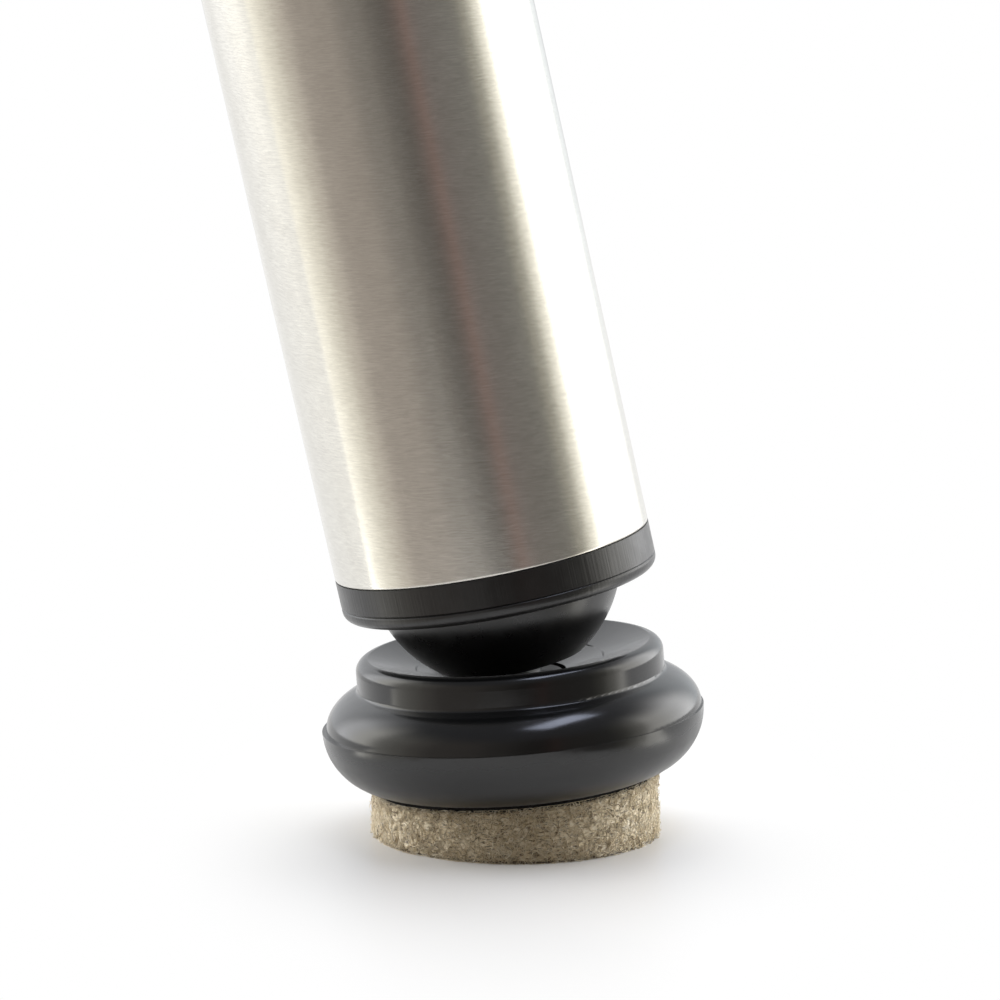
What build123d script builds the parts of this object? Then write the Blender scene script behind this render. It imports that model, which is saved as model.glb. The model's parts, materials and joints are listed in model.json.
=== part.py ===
from build123d import *

import math
import os

# A swivel felt glide fitted in the end of a round furniture leg.
# The origin is the centre of the felt's sole, on the floor, with +Z up.
# The leg leans towards -X. The foot leans the same way, but less, and the swivel takes up the rest.
# Lengths are in millimetres and angles in degrees.

# Leg tube
tube_outer_diameter = 25.0
tube_wall = 1.5
tube_length = 50.0
tube_end_rise = 4.39  # lower end of the tube above the swivel centre, along the leg's axis
tube_mitre = 1.4  # how far the saw cut at the tube's foot is off square
tube_edge_break = 0.3

# Pose of the leg and the foot
leg_lean = 12.5
foot_lean = 4.6

# Felt pad and the adhesive disc that holds it
pad_diameter = 22.8
pad_height = 4.14  # at the pad's middle, where the lean has squashed neither side
pad_offset = 0.195  # how far off the foot's axis the pad was stuck on
adhesive_thickness = 0.35
adhesive_margin = 0.4  # how far the disc stays inside the pad's edge

# Swivel foot, a stepped round moulding
flange_diameter = 30.2
flange_parting_height = 4.85  # widest level, where the two mould halves met
flange_upper_rise = 3.33
flange_flat_radius = 10.4  # the flat part of the underside
flange_crown_radius = 9.9  # centre of the upper curve
parting_step = 0.24  # the upper mould half came out this much smaller in radius
mould_shift = 0.1  # and this much off centre
disc_diameter = 24.3
disc_edge_radius = 1.0
step_fillet = 0.35  # where the disc's side meets the flange
foot_height = 10.35
dish_slope = 16.9
dish_ring_radius = 7.4  # a fine witness line in the dish
witness_depth = 0.08
witness_width = 0.16

# Recess under the foot for the stud's riveted end, and the ribbed coring round it
recess_radius = 5.2
recess_depth = 2.6
coring_wall = 1.5
coring_depth = 4.6
rib_count = 6
rib_thickness = 1.2

# Ball stud
swivel_rise = 13.86  # swivel centre above the foot's underside, along the foot's axis
ball_diameter = 8.0
stud_neck_diameter = 5.0  # the neck has to pass down through the cup's mouth
stud_shank_diameter = 3.8
rivet_diameter = 6.2
rivet_height = 0.7

# Washers on the stud: one under its shoulder, and one that it is riveted over
seat_washer_diameter = 8.4
rivet_washer_diameter = 9.6
washer_thickness = 1.0

# Socket cup, whose underside is the dome between the leg and the foot
dome_radius = 10.0
dome_centre_rise = 3.72  # above the swivel centre
dome_drop = 4.66  # dome's flat bottom below the swivel centre
mouth_angle = 14.0  # flare of the mouth that the stud's neck swings in
seat_drop = 2.45  # lower edge of the ball's seat below the swivel centre
cup_shank_diameter = 16.0
cup_bead_height = 0.3
cup_bead_rise = 4.7
cup_shoulder_rise = 2.45
cup_top_rise = 6.4

# Tube insert, one moulding: collar, ringed plug and the bore for the cup
collar_height = 3.4
collar_wedge = 2.0  # the collar's lower face is off square by this much
collar_edge_radius = 0.85
collar_line_rise = 1.1  # fine line above the collar's lower edge
collar_line_depth = 0.08
collar_line_width = 0.16
plug_length = 24.0
plug_wall = 1.6
plug_web = 3.0
fin_count = 6
fin_thickness = 1.1
fin_taper = 4.0
plug_lead_in = 0.8  # chamfer round the plug's top, above the last sealing ring

# Clearances
running_clearance = 0.05
plug_clearance = 0.05
face_clearance = 0.15
recess_clearance = 0.2

# Worked-out sizes
tube_radius = tube_outer_diameter / 2
tube_bore_radius = tube_radius - tube_wall
pad_radius = pad_diameter / 2
adhesive_radius = pad_radius - adhesive_margin
flange_radius = flange_diameter / 2
disc_radius = disc_diameter / 2
lip_radius = disc_radius - disc_edge_radius
ball_radius = ball_diameter / 2
seat_radius = ball_radius + running_clearance
neck_radius = stud_neck_diameter / 2
shank_radius = stud_shank_diameter / 2
shank_hole_radius = shank_radius + running_clearance
seat_washer_radius = seat_washer_diameter / 2
floor_radius = seat_washer_radius + recess_clearance
dish_floor_height = foot_height - (lip_radius - floor_radius) * math.tan(math.radians(dish_slope))
washer_seat_height = dish_floor_height - washer_thickness - face_clearance
cup_shank_radius = cup_shank_diameter / 2
cup_bore_radius = cup_shank_radius + running_clearance
dome_edge_radius = math.sqrt(dome_radius**2 - (dome_centre_rise - cup_shoulder_rise) ** 2)
dome_flat_radius = math.sqrt(dome_radius**2 - (dome_centre_rise + dome_drop) ** 2)
collar_bottom_rise = tube_end_rise - collar_height
plug_top_rise = tube_end_rise + plug_length
plug_core_radius = cup_bore_radius + plug_wall
fin_radius = tube_bore_radius - plug_clearance
web_bottom_rise = cup_top_rise + face_clearance

# Levels along the foot's axis are measured from the foot's underside
foot_direction = Vector(-math.sin(math.radians(foot_lean)), 0, math.cos(math.radians(foot_lean)))
leg_direction = Vector(-math.sin(math.radians(leg_lean)), 0, math.cos(math.radians(leg_lean)))
pad_top_centre = Vector(pad_offset, 0, pad_height + pad_offset * math.tan(math.radians(foot_lean)))
foot_base = pad_top_centre + foot_direction * adhesive_thickness
swivel_centre = foot_base + foot_direction * swivel_rise
foot_axis = Axis(foot_base, foot_direction)
leg_axis = Axis(swivel_centre, leg_direction)


def square_plane(base, lean, rise=0.0, off_square=0.0):
    """A plane across an axis that starts at base and leans towards -X, at a level up that axis.

    off_square turns it about the Y direction, back towards the vertical.
    """
    along = Vector(-math.sin(math.radians(lean)), 0, math.cos(math.radians(lean)))
    turned = math.radians(lean - off_square)
    return Plane(
        origin=base + along * rise,
        x_dir=(math.cos(turned), 0, math.sin(turned)),
        z_dir=(-math.sin(turned), 0, math.cos(turned)),
    )


def section_plane(base, lean):
    """The plane through an axis in which profiles are drawn: local X is the radius, local Y the level."""
    angle = math.radians(lean)
    return Plane(origin=base, x_dir=(math.cos(angle), 0, math.sin(angle)), z_dir=(0, -1, 0))


def foot_plane(level):
    return square_plane(foot_base, foot_lean, level)


def leg_plane(rise, off_square=0.0):
    return square_plane(swivel_centre, leg_lean, rise, off_square)


foot_section = section_plane(foot_base, foot_lean)
leg_section = section_plane(swivel_centre, leg_lean)
tube_end_plane = leg_plane(tube_end_rise, tube_mitre)
collar_bottom_plane = leg_plane(collar_bottom_rise, collar_wedge)

os.makedirs("parts", exist_ok=True)

# Felt pad: flat on the floor with upright sides, its top squashed to the lean of the foot
with BuildPart() as felt_pad:
    with BuildSketch(Plane.XY):
        Circle(pad_radius)
    extrude(amount=pad_height + pad_radius)
    split(bisect_by=square_plane(pad_top_centre, foot_lean), keep=Keep.BOTTOM)

# Adhesive disc between the felt and the foot
with BuildPart() as adhesive_disc:
    with BuildSketch(square_plane(pad_top_centre, foot_lean)):
        Circle(adhesive_radius)
    extrude(amount=adhesive_thickness)

# Swivel foot. The lower half of the flange is an elliptical quarter from the flat underside to the
# parting line, and the upper half another one that runs up to the step of the disc.
crown_width = flange_radius - parting_step - flange_crown_radius
crown_reach = math.sqrt(1 - ((disc_radius - flange_crown_radius) / crown_width) ** 2)
junction_height = flange_parting_height + flange_upper_rise * crown_reach
junction_angle = math.degrees(math.acos((disc_radius - flange_crown_radius) / crown_width))
upper_section = section_plane(foot_base + foot_plane(0).x_dir * mould_shift, foot_lean)
with BuildPart() as swivel_foot:
    with BuildSketch(foot_section):
        with BuildLine():
            Line((0, 0), (flange_flat_radius, 0))
            EllipticalCenterArc(
                (flange_flat_radius, flange_parting_height),
                flange_radius - flange_flat_radius,
                flange_parting_height,
                start_angle=270,
                arc_size=90,
            )
            Line((flange_radius, flange_parting_height), (0, flange_parting_height))
            Line((0, flange_parting_height), (0, 0))
        make_face()
    revolve(axis=foot_axis)
    with BuildSketch(upper_section) as upper_profile:
        with BuildLine():
            Line((0, flange_parting_height), (flange_radius - parting_step, flange_parting_height))
            EllipticalCenterArc(
                (flange_crown_radius, flange_parting_height),
                crown_width,
                flange_upper_rise,
                start_angle=0,
                arc_size=junction_angle,
            )
            Line((disc_radius, junction_height), (disc_radius, foot_height - disc_edge_radius))
            CenterArc((lip_radius, foot_height - disc_edge_radius), disc_edge_radius, 0, 90)
            Polyline(
                (lip_radius, foot_height),
                (floor_radius, dish_floor_height),
                (floor_radius, washer_seat_height),
                (0, washer_seat_height),
                (0, flange_parting_height),
            )
        make_face()
        step_corner = upper_profile.vertices().sort_by_distance(Vector(disc_radius, junction_height))[0]
        fillet(step_corner, radius=step_fillet)
    revolve(axis=Axis(upper_section.origin, foot_direction))
    # Hole for the stud's shank, and the recess for its riveted end
    with BuildSketch(foot_plane(0)):
        Circle(shank_hole_radius)
    extrude(amount=foot_height, mode=Mode.SUBTRACT)
    with BuildSketch(foot_plane(0)):
        Circle(recess_radius)
    extrude(amount=recess_depth, mode=Mode.SUBTRACT)
    # Ribbed coring round the recess
    with BuildSketch(foot_plane(0)):
        Circle(flange_flat_radius - coring_wall)
        Circle(recess_radius + coring_wall, mode=Mode.SUBTRACT)
        with PolarLocations(0, rib_count):
            Rectangle(flange_diameter, rib_thickness, align=(Align.MIN, Align.CENTER), mode=Mode.SUBTRACT)
    extrude(amount=coring_depth, mode=Mode.SUBTRACT)
    # Witness line in the dish
    ring_height = foot_height - (lip_radius - dish_ring_radius) * math.tan(math.radians(dish_slope))
    ring_fall = math.tan(math.radians(dish_slope)) * witness_width / 2
    with BuildSketch(upper_section):
        with BuildLine():
            Polyline(
                (dish_ring_radius - witness_width / 2, ring_height - ring_fall),
                (dish_ring_radius, ring_height - witness_depth),
                (dish_ring_radius + witness_width / 2, ring_height + ring_fall),
                (dish_ring_radius, ring_height + witness_depth),
                close=True,
            )
        make_face()
    revolve(axis=Axis(upper_section.origin, foot_direction), mode=Mode.SUBTRACT)

# Ball stud: ball, neck with a shoulder on its washer, shank through the foot and riveted end
rivet_top = recess_depth - running_clearance - washer_thickness
shoulder_height = washer_seat_height + washer_thickness
with BuildPart() as ball_stud:
    with BuildSketch(foot_section):
        with BuildLine():
            Polyline(
                (0, rivet_top - rivet_height),
                (rivet_diameter / 2 - rivet_height, rivet_top - rivet_height),
                (rivet_diameter / 2, rivet_top),
                (shank_radius, rivet_top),
                (shank_radius, shoulder_height),
                (neck_radius, shoulder_height),
                (neck_radius, swivel_rise),
                (0, swivel_rise),
                close=True,
            )
        make_face()
    revolve(axis=foot_axis)
    with Locations(Plane(swivel_centre)):
        Sphere(ball_radius)

# Washer between the stud's shoulder and the floor of the dish
with BuildPart() as seat_washer:
    with BuildSketch(foot_plane(washer_seat_height)):
        Circle(seat_washer_radius)
        Circle(shank_radius, mode=Mode.SUBTRACT)
    extrude(amount=washer_thickness)

# Washer that the stud is riveted over
with BuildPart() as rivet_washer:
    with BuildSketch(foot_plane(rivet_top)):
        Circle(rivet_washer_diameter / 2)
        Circle(shank_radius, mode=Mode.SUBTRACT)
    extrude(amount=washer_thickness)

# Socket cup: the dome below, a beaded shank that turns in the insert, and the ball's seat inside
mouth_radius = math.sqrt(seat_radius**2 - seat_drop**2)
mouth_rim_radius = mouth_radius + (dome_drop - seat_drop) * math.tan(math.radians(mouth_angle))
dome_start = math.degrees(math.asin((dome_centre_rise + dome_drop) / dome_radius))
dome_end = math.degrees(math.asin((dome_centre_rise - cup_shoulder_rise) / dome_radius))
seat_angle = math.degrees(math.asin(seat_drop / seat_radius))
with BuildPart() as socket_cup:
    with BuildSketch(leg_section):
        with BuildLine():
            Line((mouth_rim_radius, -dome_drop), (dome_flat_radius, -dome_drop))
            CenterArc((0, dome_centre_rise), dome_radius, -dome_start, dome_start - dome_end)
            Polyline(
                (dome_edge_radius, cup_shoulder_rise),
                (cup_shank_radius, cup_shoulder_rise),
                (cup_shank_radius, cup_bead_rise - cup_bead_height),
                (cup_shank_radius + cup_bead_height, cup_bead_rise),
                (cup_shank_radius, cup_bead_rise + cup_bead_height),
                (cup_shank_radius, cup_top_rise),
                (seat_radius, cup_top_rise),
                (seat_radius, 0),
            )
            CenterArc((0, 0), seat_radius, 0, -seat_angle)
            Line((mouth_radius, -seat_drop), (mouth_rim_radius, -dome_drop))
        make_face()
    revolve(axis=leg_axis)

# Leg tube, cut off plainly at the top and a little off square at the foot
with BuildPart() as leg_tube:
    with BuildSketch(leg_plane(tube_end_rise - tube_wall)):
        Circle(tube_radius)
        Circle(tube_bore_radius, mode=Mode.SUBTRACT)
    extrude(amount=tube_length + tube_wall)
    split(bisect_by=tube_end_plane, keep=Keep.TOP)
    chamfer(leg_tube.edges().sort_by(leg_axis)[-2:], length=tube_edge_break)

# Tube insert: collar under the tube's end, plug with sealing rings, web over the ball
fin_pitch = (plug_length - plug_lead_in - fin_thickness) / fin_count
with BuildPart() as tube_insert:
    with BuildSketch(leg_plane(collar_bottom_rise - collar_height)):
        Circle(tube_radius)
    extrude(amount=3 * collar_height)  # longer than the collar both ways, for its slanting faces
    split(bisect_by=tube_end_plane, keep=Keep.BOTTOM)
    split(bisect_by=collar_bottom_plane, keep=Keep.TOP)
    fillet(tube_insert.edges().sort_by(leg_axis)[0], radius=collar_edge_radius)
    # Fine line round the collar, level with its lower face
    with BuildSketch(section_plane(collar_bottom_plane.origin, leg_lean - collar_wedge)):
        with BuildLine():
            Polyline(
                (tube_radius - collar_line_depth, collar_line_rise),
                (tube_radius + collar_line_depth, collar_line_rise - collar_line_width),
                (tube_radius + collar_line_depth, collar_line_rise + collar_line_width),
                close=True,
            )
        make_face()
    revolve(axis=Axis(collar_bottom_plane.origin, collar_bottom_plane.z_dir), mode=Mode.SUBTRACT)
    with BuildSketch(leg_plane(collar_bottom_rise + collar_height / 2)):
        Circle(plug_core_radius)
    extrude(amount=plug_length + collar_height / 2)
    chamfer(tube_insert.edges().sort_by(leg_axis)[-1], length=plug_lead_in)
    for number in range(fin_count):
        fin_rise = plug_top_rise - fin_thickness - plug_lead_in - number * fin_pitch
        with BuildSketch(leg_plane(fin_rise)):
            Circle(fin_radius)
        extrude(amount=fin_thickness, taper=fin_taper)
    # Hollow top of the plug
    with BuildSketch(leg_plane(web_bottom_rise + plug_web)):
        Circle(cup_bore_radius)
    extrude(amount=plug_length, mode=Mode.SUBTRACT)
    # Bore for the cup, with a groove for its bead and a recess for the top of the dome
    with BuildSketch(leg_plane(-dome_drop)):
        Circle(cup_bore_radius)
        Circle(ball_radius - running_clearance, mode=Mode.SUBTRACT)
    extrude(amount=dome_drop + web_bottom_rise, mode=Mode.SUBTRACT)
    with BuildSketch(leg_section):
        with BuildLine():
            Polyline(
                (cup_bore_radius, cup_bead_rise - cup_bead_height),
                (cup_bore_radius + cup_bead_height, cup_bead_rise),
                (cup_bore_radius, cup_bead_rise + cup_bead_height),
                (cup_shank_radius, cup_bead_rise),
                close=True,
            )
        make_face()
    revolve(axis=leg_axis, mode=Mode.SUBTRACT)
    with BuildSketch(leg_plane(-dome_drop)):
        Circle(dome_edge_radius + recess_clearance)
    extrude(amount=dome_drop + cup_shoulder_rise + face_clearance, mode=Mode.SUBTRACT)
    # Spherical hollow in the thrust boss
    with Locations(Plane(swivel_centre)):
        Sphere(seat_radius, mode=Mode.SUBTRACT)

felt_pad.part.label = "felt_pad"
adhesive_disc.part.label = "adhesive_disc"
swivel_foot.part.label = "swivel_foot"
ball_stud.part.label = "ball_stud"
seat_washer.part.label = "seat_washer"
rivet_washer.part.label = "rivet_washer"
socket_cup.part.label = "socket_cup"
tube_insert.part.label = "tube_insert"
leg_tube.part.label = "leg_tube"

export_step(felt_pad.part, "parts/felt_pad.step")
export_step(adhesive_disc.part, "parts/adhesive_disc.step")
export_step(swivel_foot.part, "parts/swivel_foot.step")
export_step(ball_stud.part, "parts/ball_stud.step")
export_step(seat_washer.part, "parts/seat_washer.step")
export_step(rivet_washer.part, "parts/rivet_washer.step")
export_step(socket_cup.part, "parts/socket_cup.step")
export_step(tube_insert.part, "parts/tube_insert.step")
export_step(leg_tube.part, "parts/leg_tube.step")
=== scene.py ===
"""The looks of a swivelling felt glide in the end of a brushed steel furniture leg."""

import json
import math

import bpy
import numpy as np
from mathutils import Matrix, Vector

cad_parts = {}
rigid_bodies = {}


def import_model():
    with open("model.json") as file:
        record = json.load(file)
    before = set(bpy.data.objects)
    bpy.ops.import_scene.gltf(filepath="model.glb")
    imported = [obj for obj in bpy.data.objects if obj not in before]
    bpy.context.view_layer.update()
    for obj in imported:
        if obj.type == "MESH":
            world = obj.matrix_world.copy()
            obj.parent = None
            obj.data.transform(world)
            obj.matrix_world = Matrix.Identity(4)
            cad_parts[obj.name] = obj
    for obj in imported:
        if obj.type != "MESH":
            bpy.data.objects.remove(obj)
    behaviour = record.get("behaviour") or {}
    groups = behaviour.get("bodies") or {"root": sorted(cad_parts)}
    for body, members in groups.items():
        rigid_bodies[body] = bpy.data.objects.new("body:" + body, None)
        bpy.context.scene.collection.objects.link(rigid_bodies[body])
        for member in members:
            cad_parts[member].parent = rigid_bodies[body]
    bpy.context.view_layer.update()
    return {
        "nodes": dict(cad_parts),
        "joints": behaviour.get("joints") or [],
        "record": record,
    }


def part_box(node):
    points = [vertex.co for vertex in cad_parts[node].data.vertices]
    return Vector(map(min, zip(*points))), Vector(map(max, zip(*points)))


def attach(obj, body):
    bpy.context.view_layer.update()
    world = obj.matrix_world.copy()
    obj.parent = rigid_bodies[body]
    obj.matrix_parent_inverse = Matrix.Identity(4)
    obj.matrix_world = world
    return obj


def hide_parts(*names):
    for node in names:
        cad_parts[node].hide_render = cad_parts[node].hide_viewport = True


bl_info = {
    "name": "Swivel Felt Glide",
    "version": (1, 0, 0),
    "blender": (4, 5, 0),
    "location": "View3D > Sidebar > Glide",
    "description": "Makes a furniture leg's end with its swivelling foot and felt pad",
    "category": "Add Mesh",
}

MM = 0.001

for leftover in list(bpy.data.objects):
    bpy.data.objects.remove(leftover)
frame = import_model()

# The swivel's centre, the foot's axis and the leg's axis come from the joints
JOINTS = {joint["name"]: joint for joint in frame["joints"]}
MOUNTS = {mount["name"]: mount for mount in frame["record"]["mounts"]}
SWIVEL_CENTRE = np.array(JOINTS["leg_turn"]["pos_m"])
LEG_AXIS = np.array(JOINTS["leg_turn"]["axis"])
FOOT_AXIS = np.array(JOINTS["foot_turn"]["axis"])
TUBE_RADIUS_MM = MOUNTS["tube_outside"]["dims"]["r_mm"]
TUBE_TOP = (np.array(MOUNTS["tube_top"]["pos_m"]) - SWIVEL_CENTRE) @ LEG_AXIS


def axis_tilt(axis):
    """The turn about Y that stands a leaning axis upright."""
    return math.atan2(-axis[0], axis[2])


# The felt stands upright on the floor, round its centre
FLOOR_CENTRE, UPRIGHT = (0, 0, 0), (0, 0, 1)

# The tape is a disc that leans with the foot, so its box gives its thickness and its centre
FOOT_LEAN = axis_tilt(FOOT_AXIS)
TAPE_LOW, TAPE_HIGH = (np.array(corner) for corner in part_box("adhesive_disc"))
TAPE_RADIUS = TAPE_HIGH[1]
TAPE_THICKNESS = (TAPE_HIGH[2] - TAPE_LOW[2] - 2 * TAPE_RADIUS * math.sin(FOOT_LEAN)) / math.cos(FOOT_LEAN)
TAPE_LEVEL = (TAPE_LOW + TAPE_HIGH) / 2 @ FOOT_AXIS - SWIVEL_CENTRE @ FOOT_AXIS
PAD_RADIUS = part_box("felt_pad")[1].y
PAD_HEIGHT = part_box("felt_pad")[1].z - PAD_RADIUS * math.tan(FOOT_LEAN)

# Edges sharper than this stay creased in smooth shading, and vertices closer than this are merged
CREASE = math.radians(40)
MERGE_DISTANCE = 0.0001 * MM

# Lumps on the felt's side and on the tape's edge: height and spacing in millimetres, and a seed
FELT_LUMPS = ((0.07, 3.1, 11), (0.035, 0.8, 12), (0.03, 0.3, 13))
TAPE_LUMPS = ((0.06, 0.5, 21), (0.05, 0.2, 22))


def linear(colour):
    """An sRGB colour written as hex, as the three linear values that Blender works in."""
    values = [int(colour[i : i + 2], 16) / 255 for i in (1, 3, 5)]
    return tuple(v / 12.92 if v <= 0.04045 else ((v + 0.055) / 1.055) ** 2.4 for v in values)


def length_property(name, description, default):
    """A length in metres that a user can set."""
    return bpy.props.FloatProperty(
        name=name, description=description, default=default, unit="LENGTH", subtype="DISTANCE", precision=5
    )


def colour_property(name, description, default):
    """A colour that a user can set, with its default written as hex."""
    return bpy.props.FloatVectorProperty(
        name=name, description=description, default=linear(default), size=3, subtype="COLOR", min=0, max=1
    )


class GlideSizes(bpy.types.PropertyGroup):
    """Sizes of the pieces that are made here, in metres."""

    tube_radius: length_property("Tube radius", "Outside radius of the leg", TUBE_RADIUS_MM * MM)
    tube_wall: length_property("Tube wall", "Thickness of the leg's wall", 1.5 * MM)
    tube_start: length_property("Tube start", "Lower end of the tube above the swivel centre", 4.39 * MM)
    tube_end: length_property("Tube end", "Upper end of the tube above the swivel centre", TUBE_TOP)
    tube_edge: length_property("Tube edge", "Rounding of the tube's cut edges", 0.25 * MM)
    tube_mitre: bpy.props.FloatProperty(
        name="Tube mitre",
        description="How far the tube's lower end is off square",
        default=math.radians(1.4),
        subtype="ANGLE",
    )
    tape_radius: length_property("Tape radius", "Radius of the foam tape", TAPE_RADIUS)
    tape_thickness: length_property("Tape thickness", "Thickness of the foam tape", TAPE_THICKNESS)
    pad_radius: length_property("Pad radius", "Radius of the felt pad", PAD_RADIUS)
    pad_height: length_property("Pad height", "Height of the felt at its middle", PAD_HEIGHT)
    pad_edge: length_property("Pad edge", "Rounding of the felt's edges", 0.2 * MM)
    nap: length_property("Nap", "How far the felt's wool stands out of its body", 0.16 * MM)
    # A fibre has 44 triangles, so the most fibres that one piece may have make under 200,000
    fibre_count: bpy.props.IntProperty(
        name="Fibres", description="Number of loose wool fibres on the side", default=4200, min=0, max=4500
    )
    fringe_count: bpy.props.IntProperty(
        name="Fringe", description="Number of wool fibres along the edges", default=2600, min=0, max=4500
    )
    fibre_radius: length_property("Fibre radius", "Radius of one wool fibre", 0.026 * MM)


class GlideColours(bpy.types.PropertyGroup):
    """Colours of the finishes."""

    steel: colour_property("Steel", "Brushed stainless steel", "#e8e6df")
    steel_marks: colour_property("Steel marks", "Darker brush marks in the steel", "#d3d0c9")
    foot: colour_property("Foot", "Moulded black plastic of the foot", "#0c0d0e")
    insert: colour_property("Insert", "Moulded black nylon of the insert", "#151516")
    cup: colour_property("Cup", "Black acetal of the socket cup", "#0e0e0f")
    zinc: colour_property("Zinc", "Zinc plating on the stud and washer", "#c2c4c6")
    wool: colour_property("Wool", "Beige wool of the felt", "#d2c2a2")
    wool_pale: colour_property("Pale wool", "Pale fibres in the felt", "#f4ecd9")
    # The dark wool is the colour of dark fibres, and the felt also uses it for painted shade in its pits
    wool_dark: colour_property("Dark wool", "Dark fibres and pits in the felt", "#5f4f48")
    tape: colour_property("Tape", "Black foam of the tape", "#1a1917")
    floor: colour_property("Floor", "White board under the object", "#d0cfcd")
    floor_bounce: colour_property("Floor bounce", "What the board gives back to matt surfaces", "#918e88")


def to_row_frame(local, origin, axis):
    """Turns points given as x, y and height along a leaning axis into the row's frame.

    The axis leans in the XZ plane, so the local x direction is the axis turned a quarter turn about Y.
    """
    across = np.array([axis[2], 0.0, -axis[0]])
    sideways = np.array([0.0, 1.0, 0.0])
    return origin + local[..., :1] * across + local[..., 1:2] * sideways + local[..., 2:] * axis


def piece_from_grid(name, points, uv=None, wrap=(True, True), crease=CREASE):
    """Makes a smooth mesh object from a grid of points.

    points is rows x columns x 3. A grid that wraps joins its last row or column to its first. Rows that
    shrink to one point become a pole, because doubled vertices are merged.
    """
    rows, columns = points.shape[:2]
    cell_rows, cell_columns = rows - (not wrap[0]), columns - (not wrap[1])
    row, column = np.meshgrid(np.arange(cell_rows), np.arange(cell_columns), indexing="ij")
    here, below = row * columns, (row + 1) % rows * columns
    along = (column + 1) % columns
    faces = np.stack([here + column, here + along, below + along, below + column]).reshape(4, -1).T
    mesh = bpy.data.meshes.new(name)
    mesh.from_pydata(points.reshape(-1, 3), [], faces)
    if uv is not None:
        next_row = np.stack([row, row, row + 1, row + 1]).reshape(4, -1).T
        next_column = np.stack([column, column + 1, column + 1, column]).reshape(4, -1).T
        layer = mesh.uv_layers.new(name="surface")
        layer.data.foreach_set("uv", uv[next_row, next_column].astype(np.float32).ravel())
    return finish_piece(name, mesh, crease)


def finish_piece(name, mesh, crease):
    """Merges doubled vertices, shades the mesh smooth except at sharp edges, and links its object."""
    piece = bpy.data.objects.new(name, mesh)
    bpy.context.scene.collection.objects.link(piece)
    merge = piece.modifiers.new("merge", "WELD")
    merge.merge_threshold = MERGE_DISTANCE
    evaluated = piece.evaluated_get(bpy.context.evaluated_depsgraph_get())
    piece.data = bpy.data.meshes.new_from_object(evaluated)
    piece.modifiers.clear()
    piece.data.name = name
    bpy.data.meshes.remove(mesh)
    piece.data.polygons.foreach_set("use_smooth", np.ones(len(piece.data.polygons), bool))
    piece.data.set_sharp_from_angle(angle=crease)
    return piece


def rounded_outline(corners, radius, arc_steps=6, beyond=1.3):
    """A closed outline whose corners are arcs of one radius.

    Each arc turns from one edge's tangent point to the next one's about a centre on the corner's
    bisector. A point just beyond each end of an arc keeps the flats beside it flat in smooth shading:
    it lies as many times as far from the corner as the arc's end.
    """
    corners = np.asarray(corners, float)
    before, after = np.roll(corners, 1, axis=0) - corners, np.roll(corners, -1, axis=0) - corners
    before /= np.linalg.norm(before, axis=1, keepdims=True)
    after /= np.linalg.norm(after, axis=1, keepdims=True)
    half = np.arccos(np.clip((before * after).sum(1, keepdims=True), -1, 1)) / 2
    reach = radius / np.tan(half)
    bisector = (before + after) / np.linalg.norm(before + after, axis=1, keepdims=True)
    centre = corners + bisector * radius / np.sin(half)
    start, end = corners + before * reach - centre, corners + after * reach - centre
    turn = math.pi - 2 * half
    share = np.linspace(0, 1, arc_steps + 1)[None, :, None]
    arc = np.sin((1 - share) * turn[:, None]) * start[:, None] + np.sin(share * turn[:, None]) * end[:, None]
    arc = centre[:, None] + arc / np.sin(turn[:, None])
    lead = (corners + before * reach * beyond)[:, None]
    tail = (corners + after * reach * beyond)[:, None]
    return np.concatenate([lead, arc, tail], axis=1).reshape(-1, 2)


def lumps(points, spacing, seed):
    """Smooth random heights from -1 to 1.

    Random values stand on a lattice of that spacing and are blended between the eight corners of each
    cell with an eased weight.
    """
    size = 64
    lattice = np.random.default_rng(seed).uniform(-1, 1, (size, size, size))
    place = points / spacing
    cell = np.floor(place).astype(int)
    part = place - cell
    ease = part * part * (3 - 2 * part)
    total = np.zeros(points.shape[:-1])
    for corner in np.ndindex(2, 2, 2):
        pick = (cell + corner) % size
        weight = np.prod(np.where(corner, ease, 1 - ease), axis=-1)
        total += weight * lattice[pick[..., 0], pick[..., 1], pick[..., 2]]
    return total


def added_lumps(points, lump_sizes):
    """Heights in metres of lumps of several sizes, added up."""
    return sum(height * lumps(points, spacing * MM, seed) for height, spacing, seed in lump_sizes) * MM


def new_tree(name):
    """A new material's node tree, cleared, with the material and its output node."""
    material = bpy.data.materials.new(name)
    material.use_nodes = True
    tree = material.node_tree
    tree.nodes.clear()
    return material, tree, tree.nodes.new("ShaderNodeOutputMaterial")


def add(tree, kind, links=None, **settings):
    """Adds a node with its settings. links gives its inputs a value or another node's output."""
    made = tree.nodes.new(kind)
    for name, value in settings.items():
        setattr(made, name, value)
    for socket, value in (links or {}).items():
        if isinstance(value, bpy.types.NodeSocket):
            tree.links.new(value, made.inputs[socket])
        else:
            made.inputs[socket].default_value = value
    return made


def rgba(colour, shade=1.0):
    """A linear colour with its alpha, darkened to a share of itself."""
    return (*(channel * shade for channel in colour), 1.0)


def set_stops(ramp, stops):
    """Gives a new colour ramp its stops, each a position and a linear colour."""
    elements = ramp.color_ramp.elements
    elements.remove(elements[1])
    elements[0].position = stops[0][0]
    elements[0].color = rgba(stops[0][1])
    for position, colour in stops[1:]:
        elements.new(position).color = rgba(colour)


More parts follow.
